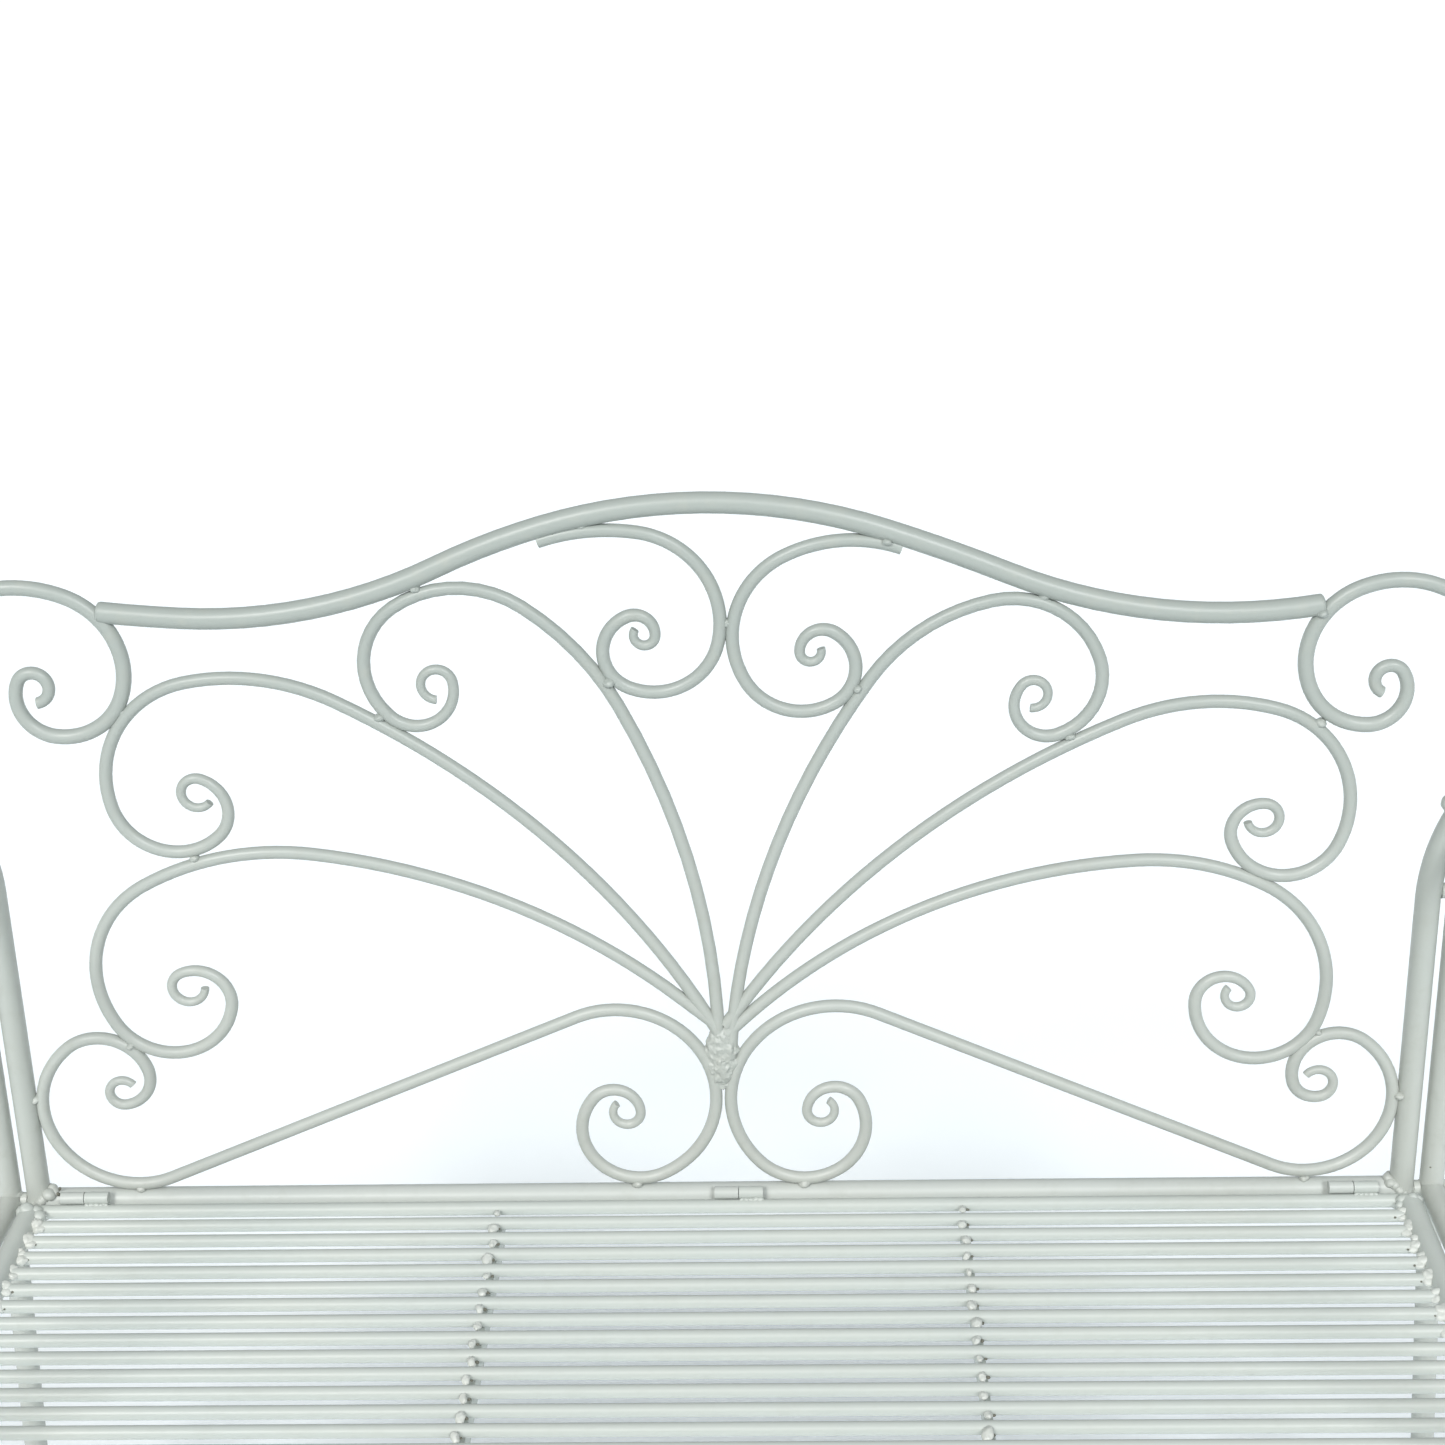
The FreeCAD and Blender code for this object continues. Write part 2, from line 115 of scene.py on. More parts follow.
def noise(graph, place, scale, detail=2.0, rough=0.5):
    """Cloudy pattern fixed to the metal; the scale is in clouds a metre."""
    return graph.node("ShaderNodeTexNoise", {"noise_dimensions": "3D"},
                      {"Vector": place, "Scale": scale, "Detail": detail, "Roughness": rough})


def tinted(graph, amount, first, second):
    """A colour that goes from the first to the second as the amount rises."""
    first, second = (colour if isinstance(colour, Wire) else (*colour, 1)
                     for colour in (first, second))
    return graph.node("ShaderNodeMix", {"data_type": "RGBA"},
                      {0: amount, 6: first, 7: second}, output=2)


def rising(graph, value, low, high, top=1.0):
    """Goes from 0 to the top as the value goes from low to high."""
    return graph.node("ShaderNodeMapRange", {}, {0: value, 1: low, 2: high, 3: 0.0, 4: top})


def finish_surface(graph, colour, roughness, relief, depth, coat=0.0):
    """Glossy or matt surface with a relief of the given depth in metres."""
    coat_roughness = 0.25
    bump = graph.node("ShaderNodeBump", {},
                      {"Strength": 1.0, "Distance": depth, "Height": relief})
    surface = graph.node("ShaderNodeBsdfPrincipled", {},
                         {"Base Color": colour, "Roughness": roughness, "Coat Weight": coat,
                          "Coat Roughness": coat_roughness, "Normal": bump})
    graph.end("ShaderNodeOutputMaterial", "Surface", surface)


# Painted shade: the enamel darkens from seat height up to the crest, standing for the dimmer
# light up there.
crest_painted_shade = (0.306, 0.337, 0.315)
seat_height, crest_height = 0.42, 0.90


def enamel(name, pale, warm, grimy, grime):
    """Thick off-white enamel: a cloudy tint, painted shade that deepens towards the crest,
    grime in patches, a few chips, and orange peel."""
    cloud_scale, grime_scale, chip_scale, peel_scale, wave_scale = 9.0, 70.0, 42.0, 420.0, 55.0
    grime_from, grime_to = 0.52, 0.74
    chip_rarity, chip_radius, chip_colour = 0.93, 0.045, (0.16, 0.15, 0.12)
    peel_depth, chip_depth, relief_depth = 0.25, 0.9, 0.0004
    clean_roughness, grime_roughness, chip_roughness, gloss = 0.36, 0.16, 0.3, 0.12
    material, graph = paint_graph(name)
    place = graph.node("ShaderNodeTexCoord", output="Object")
    tint = tinted(graph, noise(graph, place, cloud_scale, 3.0), pale, warm)
    height = graph.node("ShaderNodeSeparateXYZ", {}, {0: place}, output=2)
    # painted shade: darker from seat height up to the crest
    tint = tinted(graph, rising(graph, height, seat_height, crest_height), tint, crest_painted_shade)
    film = noise(graph, place, grime_scale, 4.0, 0.6)
    tint = tinted(graph, rising(graph, film, grime_from, grime_to, grime), tint, grimy)
    cells = {"Vector": place, "Scale": chip_scale}
    from_centre = graph.node("ShaderNodeTexVoronoi", {}, cells)
    lot = graph.node("ShaderNodeTexVoronoi", {}, cells, output="Color")
    chosen = graph.node("ShaderNodeSeparateColor", {}, {0: lot}) > chip_rarity
    chips = (from_centre < chip_radius) * chosen
    tint = tinted(graph, chips, tint, chip_colour)
    peel = noise(graph, place, peel_scale)
    waves = noise(graph, place, wave_scale)
    relief = peel * peel_depth + waves - chips * chip_depth
    roughness = clean_roughness + film * grime_roughness + chips * chip_roughness
    finish_surface(graph, tint, roughness, relief, relief_depth, gloss)
    return material


def paint(material, *names):
    """Gives CAD nodes their finish."""
    for name in names:
        for slot in nodes[name].material_slots:
            slot.material = material


# One enamel in lit and shaded copies: the frame copy is darker as painted shade, the rail copy
# lighter as painted light.
frame_enamel_shaded = enamel("frame enamel, painted shade", (0.425, 0.455, 0.430), (0.440, 0.455, 0.415),
                      (0.350, 0.363, 0.324), 0.4)
rail_enamel_lit = enamel("rail enamel, painted light", (0.448, 0.480, 0.462), (0.460, 0.480, 0.448),
                     (0.385, 0.402, 0.368), 0.3)
seat_parts = [name for name in nodes
              if name.startswith("seat_") and name != "seat_rest_tabs"]
paint(frame_enamel_shaded, *(name for name in nodes if name not in seat_parts))
paint(rail_enamel_lit, "back_bottom_rail", "hinge_barrels_back")

# Post welds. A ring of small beads where each end of the bottom rail meets its
# post, and larger lumps on top of the two corners, all under the enamel.


def open_tree(name, kinds):
    """An empty Geometry Nodes tree with named inputs, ready to fill."""
    tree = bpy.data.node_groups.new(name, "GeometryNodeTree")
    for label, kind in kinds.items():
        tree.interface.new_socket(label, in_out="INPUT", socket_type=kind)
    tree.interface.new_socket("Mesh", in_out="OUTPUT", socket_type="NodeSocketGeometry")
    graph = Graph(tree)
    given = tree.nodes.new("NodeGroupInput")
    return tree, graph, {label: Wire(graph, given.outputs[label]) for label in kinds}


def close_tree(graph, shape, push, finish):
    """Pushes the shape out along its normals and gives it its finish."""
    outward = graph.node("GeometryNodeInputNormal")
    offset = graph.node("ShaderNodeVectorMath", {"operation": "SCALE"}, {0: outward, 3: push})
    pushed = graph.node("GeometryNodeSetPosition", {}, {"Geometry": shape, "Offset": offset})
    smooth = graph.node("GeometryNodeSetShadeSmooth", {}, {"Geometry": pushed})
    real = graph.node("GeometryNodeRealizeInstances", {}, {"Geometry": smooth})
    finished = graph.node("GeometryNodeSetMaterial", {}, {"Geometry": real, "Material": finish})
    graph.end("NodeGroupOutput", "Mesh", finished)


def weld_tree():
    """Lumps of weld metal scattered on points, pushed in and out by noise."""
    tumble, mean = 0.35, 0.5
    tree, graph, asked = open_tree("weld lumps", {
        "Points": "NodeSocketGeometry", "Size": "NodeSocketVector",
        "Spread": "NodeSocketFloat", "Lumps": "NodeSocketFloat", "Grain": "NodeSocketFloat",
        "Facets": "NodeSocketInt", "Seed": "NodeSocketInt", "Finish": "NodeSocketMaterial"})
    ball = graph.node("GeometryNodeMeshIcoSphere", {},
                      {"Radius": 1.0, "Subdivisions": asked["Facets"]})
    factor = graph.node("FunctionNodeRandomValue", {"data_type": "FLOAT"},
                        {2: 1.0 - asked["Spread"], 3: asked["Spread"] + 1.0,
                         8: asked["Seed"]}, output=1)
    scaled = graph.node("ShaderNodeVectorMath", {"operation": "SCALE"},
                        {0: asked["Size"], 3: factor})
    turned = graph.node("FunctionNodeRandomValue", {"data_type": "FLOAT_VECTOR"},
                        {0: (-tumble,) * 3, 1: (tumble,) * 3, 8: asked["Seed"]})
    placed = graph.node("GeometryNodeInstanceOnPoints", {},
                        {"Points": asked["Points"], "Instance": ball, "Rotation": turned,
                         "Scale": scaled})
    real = graph.node("GeometryNodeRealizeInstances", {}, {"Geometry": placed})
    rough = graph.node("ShaderNodeTexNoise", {"noise_dimensions": "4D"},
                       {"Vector": graph.node("GeometryNodeInputPosition"),
                        "W": asked["Seed"], "Scale": asked["Grain"], "Detail": 2.0})
    close_tree(graph, real, (rough - mean) * asked["Lumps"], asked["Finish"])
    return tree


def formed(name, start, tree, values):
    """Runs a node tree on a mesh and keeps the result as a plain mesh object."""
    rough = bpy.data.objects.new(name + " start", start)
    bpy.context.scene.collection.objects.link(rough)
    modifier = rough.modifiers.new("build", "NODES")
    modifier.node_group = tree
    for item in tree.interface.items_tree:
        if item.in_out == "INPUT" and item.name in values:
            modifier[item.identifier] = values[item.name]
    ready = rough.evaluated_get(bpy.context.evaluated_depsgraph_get())
    mesh = bpy.data.meshes.new_from_object(ready)
    rough.modifiers.remove(modifier)
    bpy.data.objects.remove(rough)
    mesh.name = name
    piece = bpy.data.objects.new(name, mesh)
    bpy.context.scene.collection.objects.link(piece)
    return piece


lump_tree = weld_tree()


def welds(name, points, size, seed, lumps=0.0014, grain=260.0, facets=3, spread=0.25,
          finish=frame_enamel_shaded, body="frame", slot="frame_paint"):
    """One piece of weld lumps at the points: half-axes, then how lumpy and how fine."""
    cloud = bpy.data.meshes.new(name + " points")
    cloud.from_pydata([tuple(point) for point in points], [], [])
    piece = formed(name, cloud, lump_tree,
                   {"Size": size, "Spread": spread, "Lumps": lumps, "Grain": grain,
                    "Facets": facets, "Seed": seed, "Finish": finish})
    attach(piece, body)


def middle(node):
    """Centre of a CAD node's box."""
    low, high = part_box(node)
    return (Vector(low) + Vector(high)) / 2


def saddle(centre, outward, along, branch_radius, main_radius, beads=40):
    """Points round the seam where a branch tube meets a main tube."""
    outward, along = Vector(outward), Vector(along)
    across = outward.cross(along)
    points = []
    for bead in range(beads):
        angle = 2 * math.pi * bead / beads
        sideways = branch_radius * math.cos(angle)
        reach = math.sqrt(max(main_radius ** 2 - sideways ** 2, 0.0))
        points.append(Vector(centre) + outward * reach + across * sideways
                      + along * branch_radius * math.sin(angle))
    return points


rail_low, rail_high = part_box("back_bottom_rail")
rail_middle = middle("back_bottom_rail")
tube_radius = (rail_high[2] - rail_low[2]) / 2
post_x, rail_crown = rail_high[0], rail_high[2]
corner_x = post_x - tube_radius
post_seams = []
for side in (-1, 1):
    post_seams += saddle((side * post_x, rail_middle.y, rail_middle.z), (-side, 0, 0),
                         (0, 0, 1), tube_radius, tube_radius)
welds("post_welds", post_seams, (0.0034, 0.0034, 0.0034), seed=3, lumps=0.0007, facets=2)


def at_corner(side, steps):
    """Points on a corner of the rail and post, each a step inward, back and up."""
    return [(side * (corner_x - inward), rail_middle.y + back, rail_crown + up)
            for inward, back, up in steps]


left_lumps = at_corner(-1, ((0.0022, 0.0, 0.0014), (0.0042, -0.003, -0.0004),
                            (0.0010, -0.006, -0.0006)))
right_lumps = at_corner(1, ((0.0016, -0.001, 0.0002), (0.0010, -0.005, -0.0016)))
welds("corner_welds", left_lumps + right_lumps, (0.0046, 0.0050, 0.0040), seed=8,
      lumps=0.0016, grain=150.0, facets=4)

# Weld slag and painted crevice shade. Dark, matt, rusty scale: at the left corner, spots the
# enamel never wetted; beside the seat's beads, dark pits that are painted crevice shade.


def scale_and_shade_paint():
    """Burnt steel, also used as painted crevice shade: two dark browns in fine flecks, with no
    shine.
    """
    dark, rusty = (0.075, 0.080, 0.065), (0.20, 0.195, 0.155)
    fleck_scale, fleck_depth = 900.0, 0.0003
    base_roughness, fleck_roughness = 0.75, 0.2
    material, graph = paint_graph("weld scale and painted crevice shade")
    flecks = noise(graph, graph.node("ShaderNodeTexCoord", output="Object"), fleck_scale, 3.0)
    finish_surface(graph, tinted(graph, flecks, dark, rusty),
                   base_roughness + flecks * fleck_roughness, flecks, fleck_depth)
    return material


scale_and_crevice_shade = scale_and_shade_paint()
welds("corner_slag", at_corner(-1, ((0.0095, -0.0035, 0.003), (0.0085, -0.006, -0.0005))),
      (0.0012, 0.0010, 0.0018), seed=5, lumps=0.0006, grain=700.0, facets=2, finish=scale_and_crevice_shade)

# Scrollwork. Round rod with drawn-down curls, held by a small tack of weld
# wherever two scrolls touch, or a scroll touches a rail or a post.


def skin_of(node):
    """Surface of a CAD node, for finding the nearest spot on it."""
    mesh = nodes[node].data
    return BVHTree.FromPolygons([vertex.co for vertex in mesh.vertices],
                                [tuple(face.vertices) for face in mesh.polygons])


def touch(first, second, inner=None):
    """The spot where two CAD nodes come nearest; inner keeps to the middle or the
    ends of the panel."""
    inner_half, passes = 0.25, 12
    skins = skin_of(first), skin_of(second)
    tries = [vertex.co for vertex in nodes[first].data.vertices
             if inner is None or (abs(vertex.co.x) < inner_half) == inner]
    spot = min((skins[1].find_nearest(place) for place in tries),
               key=lambda found: found[3])[0]
    for _ in range(passes):
        for skin in skins:
            spot = skin.find_nearest(spot)[0]
    return spot


touching = []
for side in ("left", "right"):
    corner, crest, base, upper, centre, lower = (
        f"{kind}_scroll_{side}" for kind in ("corner", "crest", "base", "upper_feather",
                                             "middle_feather", "lower_feather"))
    touching += [(corner, "top_rail"), (crest, "top_rail"), (upper, "top_rail"),
                 (corner, centre), (crest, upper), (upper, centre, False),
                 (centre, lower, False), (lower, base), (base, "back_bottom_rail", True),
                 (base, "back_bottom_rail", False), (base, f"back_post_{side}")]
touching.append(("crest_scroll_left", "crest_scroll_right"))
tack_forward, rail_tack_lift = 0.0012, 0.0015
tacks = [touch(*pair) + Vector((0, -tack_forward,
                                rail_tack_lift if pair[1] == "back_bottom_rail" else 0))
         for pair in touching]
welds("scroll_tacks", tacks, (0.0038, 0.0042, 0.0028), seed=11, lumps=0.0026, grain=240.0,
      facets=4)

# Fan hub. The feet of the fan rods are gathered by one heavy weld, laid on in
# several passes and left lumpy, with drips down its front.
same_spot = 1e-6
hub_mesh = nodes["hub_weld"].data.copy()
merge = bmesh.new()
merge.from_mesh(hub_mesh)
bmesh.ops.remove_doubles(merge, verts=merge.verts, dist=same_spot)
merge.to_mesh(hub_mesh)
merge.free()


def crust_tree():
    """A welded crust: a mesh pushed out in coarse lumps and fine drips."""
    coarse_mean, fine_mean = 0.55, 0.4
    tree, graph, asked = open_tree("weld crust", {
        "Body": "NodeSocketGeometry", "Coarse": "NodeSocketFloat",
        "Coarse Grain": "NodeSocketFloat", "Fine": "NodeSocketFloat",
        "Fine Grain": "NodeSocketFloat", "Finish": "NodeSocketMaterial"})
    finer = graph.node("GeometryNodeSubdivideMesh", {}, {"Mesh": asked["Body"], "Level": 1})
    where = graph.node("GeometryNodeInputPosition")
    coarse = graph.node("ShaderNodeTexNoise", {},
                        {"Vector": where, "Scale": asked["Coarse Grain"]})
    fine = graph.node("ShaderNodeTexVoronoi", {"feature": "SMOOTH_F1"},
                      {"Vector": where, "Scale": asked["Fine Grain"]})
    push = (coarse - coarse_mean) * asked["Coarse"] + (fine_mean - fine) * asked["Fine"]
    close_tree(graph, finer, push, asked["Finish"])
    return tree


hub = formed("fan_hub_weld", hub_mesh, crust_tree(),
             {"Coarse": 0.006, "Coarse Grain": 150.0, "Fine": 0.0012, "Fine Grain": 230.0,
              "Finish": frame_enamel_shaded})
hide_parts("hub_weld")
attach(hub, "frame")

# Hinges. Three short barrels welded on each rail, pinned end to end, with the
# weld run along the foot of every barrel.
# The seat copy of the enamel is lighter, as painted light.
seat_enamel_lit = enamel("seat enamel, painted light", (0.440, 0.480, 0.460), (0.458, 0.482, 0.446),
                     (0.385, 0.405, 0.368), 0.22)
paint(seat_enamel_lit, "hinge_barrels_seat")
barrel_spacing, shortest_barrel, beads_each = 0.12, 0.012, 5
foot_reach, foot_drop = 0.0048, 0.0035
for label, toward, body, finish in (("back", 1, "frame", frame_enamel_shaded),
                                    ("seat", -1, "seat", seat_enamel_lit)):
    node = f"hinge_barrels_{label}"
    centre = middle(node)
    barrels = {}
    for vertex in nodes[node].data.vertices:
        barrels.setdefault(round(vertex.co.x / barrel_spacing), []).append(vertex.co.x)
    runs = []
    for barrel in barrels.values():
        low_x, length = min(barrel), max(barrel) - min(barrel)
        if length >= shortest_barrel:
            runs += [(low_x + length * (bead + 0.5) / beads_each,
                      centre.y + toward * foot_reach, centre.z - foot_drop)
                     for bead in range(beads_each)]
    welds(f"hinge_welds_{label}", runs, (0.0026, 0.0018, 0.0018), seed=17, lumps=0.0009,
          facets=2, finish=finish, body=body, slot=f"{body}_paint")

# Seat. Solid rods welded between two side tubes, with a fat lump at each end and
# a tack where a rod crosses either of the two flat bars that stand on edge below.
paint(seat_enamel_lit, *seat_parts)
# The beads' copy of the enamel is lighter still, a painted highlight on the lumps.
bead_enamel_lit = enamel("bead enamel, painted highlight", (0.540, 0.572, 0.545), (0.560, 0.572, 0.530),
                     (0.420, 0.435, 0.395), 0.45)
seat_work = {"body": "seat", "slot": "seat_paint"}
rods = sorted(name for name in nodes if name.startswith("seat_rod_"))
rod_lines = [middle(name) for name in rods]
rod_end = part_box(rods[0])[1][0]


def at_rod_end(side, line, wander, step):
    """A spot by a rod's end: a step inward, back and up, then its share of wander
    outward and back."""
    inward, back, up, outward_share, back_share = step
    return (side * (rod_end - inward + outward_share * wander),
            line.y + back + back_share * wander, line.z + up)


lump_steps = ((0.0005, 0.0, 0.0030, 0, 1), (0.0020, -0.0042, 0.0010, 1, 0),
              (-0.0022, 0.0036, 0.0030, 0, -1))
# Painted shade: dark pits by most rod ends stand for the shade in the crevice at the bead.
shade_pit_step = (0.0072, -0.0048, 0.0016, 0, 0.5)
end_wander, end_beat, end_shade_skip = 0.0012, 5.1, 4
end_lumps, end_shade_pits = [], []
for index, line in enumerate(rod_lines):
    for side in (-1, 1):
        wander = end_wander * math.sin(end_beat * index + side)
        end_lumps += [at_rod_end(side, line, wander, step) for step in lump_steps]
        if (index * 7 + side) % end_shade_skip:
            end_shade_pits.append(at_rod_end(side, line, wander, shade_pit_step))

rear = middle("seat_rear_rail")
gap_lines = [(rear + rod_lines[0]) / 2]
gap_lines += [(near + far) / 2 for near, far in zip(rod_lines, rod_lines[1:])]
gap_lines.append(rod_lines[-1] - (rod_lines[0] - rod_lines[1]) / 2)
tack_x, tack_rise = -0.002, 0.0024
# Painted shade: dark pits beside most tacks stand for the shade in the crevice at the bar.
shade_pit_x, shade_pit_back, shade_pit_rise = 0.0022, 0.0005, 0.0016
tack_sway, tack_beat, tack_shade_skip = 0.0010, 3.7, 7
rod_z = rod_lines[0].z
bar_tacks, bar_shade_pits = [], []
for side, label in enumerate(("left", "right")):
    bar_x = middle(f"seat_cross_bar_{label}").x
    for index, line in enumerate(gap_lines):
        sway = tack_sway * math.sin(tack_beat * index + side)
        bar_tacks.append((bar_x + tack_x + sway, line.y, rod_z + tack_rise))
        if (index * 5 + side) % tack_shade_skip:
            bar_shade_pits.append((bar_x + shade_pit_x + sway, line.y + shade_pit_back, rod_z + shade_pit_rise))
welds("rod_end_welds", end_lumps, (0.0052, 0.0044, 0.0030), seed=21, lumps=0.0030,
      grain=210.0, facets=4, finish=bead_enamel_lit, **seat_work)
# dark pits of painted crevice shade by the rod ends
welds("rod_end_painted_shade", end_shade_pits, (0.0010, 0.0009, 0.0009), seed=22, lumps=0.0004,
      grain=800.0, facets=2, finish=scale_and_crevice_shade, **seat_work)
welds("cross_bar_tacks", bar_tacks, (0.0032, 0.0052, 0.0026), seed=23, lumps=0.0032,
      grain=300.0, facets=4, spread=0.35, finish=bead_enamel_lit, **seat_work)
# dark pits of painted crevice shade beside the bar tacks
welds("cross_bar_painted_shade", bar_shade_pits, (0.0014, 0.0012, 0.0010), seed=24, lumps=0.0006,
      grain=800.0, facets=2, finish=scale_and_crevice_shade, **seat_work)

# Seat corners. The front tube is coped and welded between the side tubes, and
# the thin rear rail is held at each end by a few heavy lumps.
front = middle("seat_front_rail")
rear_lump_steps = ((-0.006, 0.001, 0.004), (0.001, -0.001, 0.0075), (0.005, 0.0, 0.005),
                   (-0.009, -0.004, 0.002))
rear_lump_forward = 0.0055
front_seams, rear_lumps = [], []
for side, label in ((-1, "left"), (1, "right")):
    tube_x = middle(f"seat_side_tube_{label}").x
    front_seams += saddle((tube_x, front.y, front.z), (-side, 0, 0), (0, 1, 0), tube_radius,
                          tube_radius)
    rear_lumps += [(tube_x + side * outward, rear.y - rear_lump_forward + back, rear.z + up)
                   for outward, back, up in rear_lump_steps]
welds("front_rail_welds", front_seams, (0.0028, 0.0028, 0.0028), seed=31, facets=2,
      finish=seat_enamel_lit, **seat_work)
welds("rear_rail_welds", rear_lumps, (0.0052, 0.0050, 0.0044), seed=32, lumps=0.0026,
      grain=230.0, finish=seat_enamel_lit, **seat_work)

# Tube plugs. Domed plugs pressed into the open ends of the seat's side tubes
# and into the bottom ends of the posts, and enamelled with them.


def lathe(name, rings, ends, material, body, facets=32):
    """Turned pieces: rings of (radius, height) set at each (centre, direction)."""
    shape = bmesh.new()
    for centre, direction in ends:
        turn = Vector(direction).to_track_quat("Z", "Y").to_matrix().to_4x4()
        place = Matrix.Translation(centre) @ turn
        loops = []
        for radius, height in rings:
            angles = (2 * math.pi * facet / facets for facet in range(facets))
            loops.append([shape.verts.new(place @ Vector((radius * math.cos(angle),
                                                          radius * math.sin(angle), height)))
                          for angle in angles])
        for lower, upper in zip(loops, loops[1:]):
            for here in range(facets):
                there = (here + 1) % facets
                shape.faces.new((lower[here], lower[there], upper[there], upper[here]))
        shape.faces.new(list(reversed(loops[0])))
        shape.faces.new(loops[-1])
    for face in shape.faces:
        face.smooth = True
    mesh = bpy.data.meshes.new(name)
    shape.to_mesh(mesh)
    shape.free()
    mesh.materials.append(material)
    piece = bpy.data.objects.new(name, mesh)
    bpy.context.scene.collection.objects.link(piece)
    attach(piece, body)
    return piece


def rim_of(node, direction, keep=0.0004):
    """Points of the cut end of a tube that faces a direction."""
    direction = Vector(direction).normalized()
    spots = [vertex.co for vertex in nodes[node].data.vertices]
    far = max(spot.dot(direction) for spot in spots)
    return [spot for spot in spots if spot.dot(direction) > far - keep]


def end_of(node, direction):
    """Centre of that cut end."""
    rim = rim_of(node, direction)
    return sum(rim, Vector()) / len(rim)


def plug_rings(radius):
    """Domed plug for a tube: inside the bore, over the wall, up to the crown."""
    return [(radius * 0.80, -0.006), (radius * 0.82, -0.0002), (radius * 0.97, 0.0),
            (radius * 0.985, 0.0006), (radius * 0.93, 0.0014), (radius * 0.70, 0.0024),
            (radius * 0.40, 0.0030), (radius * 0.10, 0.0032)]


seat_ends = []
for label in ("left", "right"):
    seat_ends += [(end_of(f"seat_side_tube_{label}", (0, way, 0)), (0, way, 0))
                  for way in (-1, 1)]
lathe("seat_tube_plugs", plug_rings(tube_radius), seat_ends, seat_enamel_lit, "seat")

panel_lean = math.radians(3)
down = (0, -math.sin(panel_lean), -math.cos(panel_lean))
post_ends = [(end_of(f"back_post_{label}", down), down) for label in ("left", "right")]
lathe("post_plugs", plug_rings(tube_radius), post_ends, frame_enamel_shaded, "frame")

# Ear loops. The outer end of each corner scroll drops into the open, flared top
# of its post and is welded in, with a ring of beads and two lumps at its root.
left_flare, right_flare = math.radians(30), math.radians(26.3)
collar_reach = 0.4
root_steps = ((0.0015, 0, 0.0050), (0.0030, -0.0030, 0.0015))
collar, roots = [], []
for side, label, swing in ((-1, "left", left_flare), (1, "right", right_flare)):
    flare = (side * math.sin(swing), math.cos(swing) * math.sin(panel_lean),
             math.cos(swing) * math.cos(panel_lean))
    rim = rim_of(f"back_post_{label}", flare)
    loop_rod = skin_of(f"corner_scroll_{label}")
    collar += [spot.lerp(loop_rod.find_nearest(spot)[0], collar_reach) for spot in rim]
    inner_rim = min(rim, key=lambda spot: abs(spot.x))
    roots += [inner_rim + Vector((side * outward, back, up))
              for outward, back, up in root_steps]
welds("loop_collar_welds", collar, (0.0030, 0.0030, 0.0030), seed=52, lumps=0.0012, facets=2)
welds("loop_root_welds", roots, (0.0054, 0.0050, 0.0062), seed=53, lumps=0.0020,
      grain=170.0, facets=4)

# Top rail ends. The humped top rail is a lighter tube, cut square where it runs
# out over the corner scrolls and closed there by the same kind of domed plug.
top_radius = 0.008
left_heading, right_heading = math.radians(173), math.radians(9)
top_ends = []
for heading in (left_heading, right_heading):
    way = (math.cos(heading), math.sin(heading) * math.sin(panel_lean),
           math.sin(heading) * math.cos(panel_lean))
    top_ends.append((end_of("top_rail", way), way))
lathe("top_rail_plugs", plug_rings(top_radius), top_ends, frame_enamel_shaded, "frame")

# Side frames. Arms and legs of bent tube, with a seat-level rail and a thinner
# stretcher coped to the legs and welded all round.
rail_set_in, stretcher_set_in = 0.0047, 0.004
stretcher_radius, stretcher_beads = 0.008, 14
rail_seams, stretcher_seams = [], []
for label in ("left", "right"):
    rail, stretcher = f"side_rail_{label}", f"side_stretcher_{label}"
    for end, way in enumerate((-1, 1)):
        rail_end = (middle(rail).x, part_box(rail)[end][1] + way * rail_set_in, rail_middle.z)
        rail_seams += saddle(rail_end, (0, -way, 0), (0, 0, 1), tube_radius, tube_radius)
        stretcher_end = (middle(stretcher).x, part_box(stretcher)[end][1]
                         + way * stretcher_set_in, middle(stretcher).z)
        stretcher_seams += saddle(stretcher_end, (0, -way, 0), (0, 0, 1), stretcher_radius,
                                  tube_radius, stretcher_beads)
welds("side_rail_welds", rail_seams, (0.0027, 0.0027, 0.0027), seed=41, facets=2)
welds("stretcher_welds", stretcher_seams, (0.0025, 0.0025, 0.0025), seed=42, facets=2)

# Side bolts. Button heads with a round socket, two on each side, that draw the
# side frames up to the back posts through a spacer.
head_rings = [(0.0030, -0.0300), (0.0030, -0.0004), (0.0067, -0.0002), (0.0066, 0.0010),
              (0.0058, 0.0026), (0.0040, 0.0039), (0.0031, 0.0038), (0.0030, 0.0010)]
head_height, upper_row = 0.0040, rail_middle.z + 0.1
bolt_spots = [vertex.co for vertex in nodes["side_bolts"].data.vertices]
bolt_ends = []
for side in (-1, 1):
    for upper in (False, True):
        one_bolt = [spot for spot in bolt_spots
                    if spot.x * side > 0 and (spot.z > upper_row) == upper]
        x_reach = [abs(spot.x) for spot in one_bolt]
        y_reach = [spot.y for spot in one_bolt]
        z_reach = [spot.z for spot in one_bolt]
        head = (side * (max(x_reach) - head_height), (min(y_reach) + max(y_reach)) / 2,
                (min(z_reach) + max(z_reach)) / 2)
        bolt_ends.append((head, (side, 0, 0)))
bolts = lathe("button_bolts", head_rings, bolt_ends, frame_enamel_shaded, "frame")
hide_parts("side_bolts")

# Feet. Pale plastic caps pushed over the ends of the legs, moulded with a flat
# tread, a slight taper and a bead round the mouth.


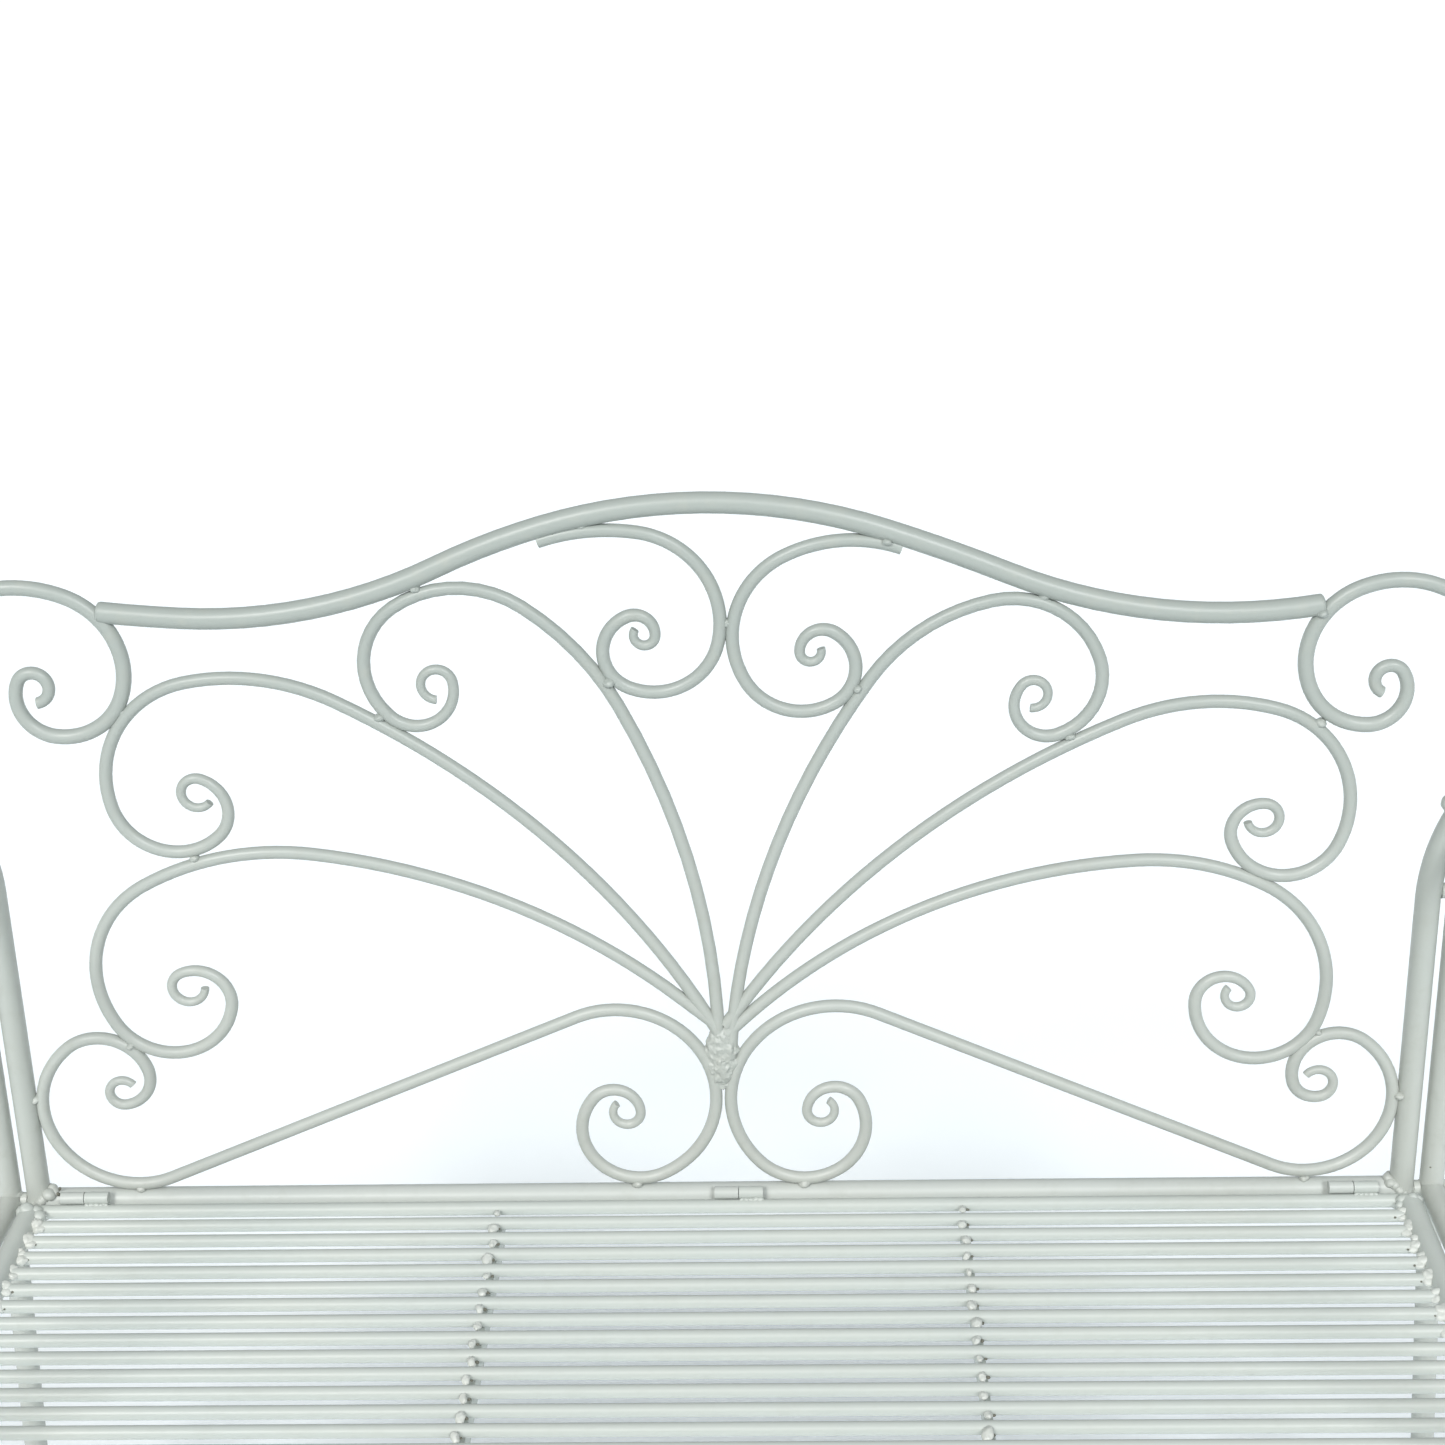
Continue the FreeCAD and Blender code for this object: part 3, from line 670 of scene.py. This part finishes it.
def moulded(name, colour):
    """Moulded plastic: even tint, fine spark-eroded grain, darker scuffs."""
    grain_scale, scuff_scale, grain_depth, scuff_shade = 1400.0, 130.0, 0.0002, 0.72
    clean_roughness, scuff_roughness = 0.45, 0.3
    material, graph = paint_graph(name)
    place = graph.node("ShaderNodeTexCoord", output="Object")
    grain = noise(graph, place, grain_scale)
    scuffs = noise(graph, place, scuff_scale, 4.0, 0.7)
    tone = tinted(graph, scuffs, colour, [part * scuff_shade for part in colour])
    finish_surface(graph, tone, clean_roughness + scuffs * scuff_roughness, grain, grain_depth)
    return material


foot_plastic = moulded("foot plastic", (0.56, 0.58, 0.55))
cap_far_x, _, cap_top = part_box("foot_caps")[1]
tread_height = 0.008
feet = []
for label in ("left", "right"):
    for way in (-1, 1):
        tip = [vertex.co for vertex in nodes[f"side_hoop_{label}"].data.vertices
               if vertex.co.z < tread_height and vertex.co.y * way > 0]
        centre = sum(tip, Vector()) / len(tip)
        feet.append(((centre.x, centre.y, 0), (0, 0, 1)))
cap_radius = cap_far_x - max(abs(centre[0]) for centre, _ in feet)
cap_rings = [(cap_radius * 0.70, 0.0), (cap_radius * 0.93, 0.0002),
             (cap_radius * 0.99, 0.0016), (cap_radius, 0.0040),
             (cap_radius * 0.985, cap_top - 0.0060), (cap_radius * 0.985, cap_top - 0.0042),
             (cap_radius, cap_top - 0.0036), (cap_radius, cap_top - 0.0010),
             (cap_radius * 0.97, cap_top - 0.0001), (cap_radius * 0.84, cap_top),
             (cap_radius * 0.80, cap_top - 0.0006)]
caps = lathe("foot_mouldings", cap_rings, feet, foot_plastic, "frame", 40)
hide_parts("foot_caps")

# Room. A pale seamless floor and a white surround, a soft window on the left,
# and two broad banks of light in front, one from each side.
fill_tone, fill_strength = (0.90, 0.965, 1.0, 1), 0.42
room = bpy.context.scene
room.view_settings.view_transform = "Standard"
world = bpy.data.worlds.new("room")
room.world = world
world.use_nodes = True
world.node_tree.nodes.clear()
sky = Graph(world.node_tree)
seen = sky.node("ShaderNodeLightPath")
fill = sky.node("ShaderNodeBackground", {}, {"Color": fill_tone, "Strength": fill_strength})
white = sky.node("ShaderNodeBackground", {}, {"Color": (1, 1, 1, 1), "Strength": 1.0})
sky.end("ShaderNodeOutputWorld", "Surface",
        sky.node("ShaderNodeMixShader", {}, {0: seen, 1: fill, 2: white}))

floor_half, floor_roughness, floor_glow, mottle_scale = 40.0, 0.8, 0.085, 3.0
floor_mesh = bpy.data.meshes.new("floor")
floor_mesh.from_pydata([(-floor_half, -floor_half, 0), (floor_half, -floor_half, 0),
                        (floor_half, floor_half, 0), (-floor_half, floor_half, 0)],
                       [], [(0, 1, 2, 3)])
floor = bpy.data.objects.new("floor", floor_mesh)
room.collection.objects.link(floor)
floor_paint, graph = paint_graph("floor paint")
mottle = noise(graph, graph.node("ShaderNodeTexCoord", output="Object"), mottle_scale, 3.0)
floor_tone = tinted(graph, mottle, (0.895, 0.948, 0.975), (0.925, 0.965, 0.985))
graph.end("ShaderNodeOutputMaterial", "Surface",
          graph.node("ShaderNodeBsdfPrincipled", {},
                     {"Base Color": floor_tone, "Roughness": floor_roughness,
                      "Emission Color": (1, 1, 1, 1), "Emission Strength": floor_glow}))
floor_mesh.materials.append(floor_paint)


def light(name, kind, strength, tone, facing, at=(0, 0, 0)):
    """A lamp of the given kind that shines along the facing direction."""
    data = bpy.data.lights.new(name, kind)
    data.energy = strength
    data.color = tone
    lamp = bpy.data.objects.new(name, data)
    lamp.location = at
    lamp.rotation_euler = Vector(facing).to_track_quat("-Z", "Y").to_euler()
    room.collection.objects.link(lamp)
    return data


window_at, window_aim = Vector((-2.6, -2.0, 2.6)), Vector((0, 0.1, 0.7))
window_side, window_power, window_tone = 1.8, 6, (1.0, 0.99, 0.97)
light("left window", "AREA", window_power, window_tone, window_aim - window_at,
      window_at).size = window_side
bank_spread = math.radians(18)
for name, strength, tone, facing in (
        ("left bank", 2.0, (1.0, 0.985, 0.96), (0.42, 0.85, -0.72)),
        ("right bank", 1.75, (0.98, 0.99, 1.0), (-0.42, 0.85, -0.72))):
    light(name, "SUN", strength, tone, facing).angle = bank_spread

# Camera. It stands a little above eye level in front of the seat, tipped down,
# turned a touch to the left and rolled a little, with a longish lens.
camera_at = Vector((0.0671, -1.3319, 1.5240))
pitch, yaw, roll = 0.418286, -0.0323186, -0.0278882
sensor_width, focal_length = 36.0, 57.42
ahead = Vector((math.sin(yaw) * math.cos(pitch), math.cos(yaw) * math.cos(pitch),
                -math.sin(pitch)))
level = Vector((math.cos(yaw), -math.sin(yaw), 0))
above = level.cross(ahead)
right = level * math.cos(roll) + above * math.sin(roll)
upward = above * math.cos(roll) - level * math.sin(roll)
lens = bpy.data.cameras.new("camera")
lens.sensor_width = sensor_width
lens.lens = focal_length
camera = bpy.data.objects.new("camera", lens)
turn = Matrix((right, upward, -ahead)).transposed()
camera.matrix_world = Matrix.Translation(camera_at) @ turn.to_4x4()
room.collection.objects.link(camera)
room.camera = camera
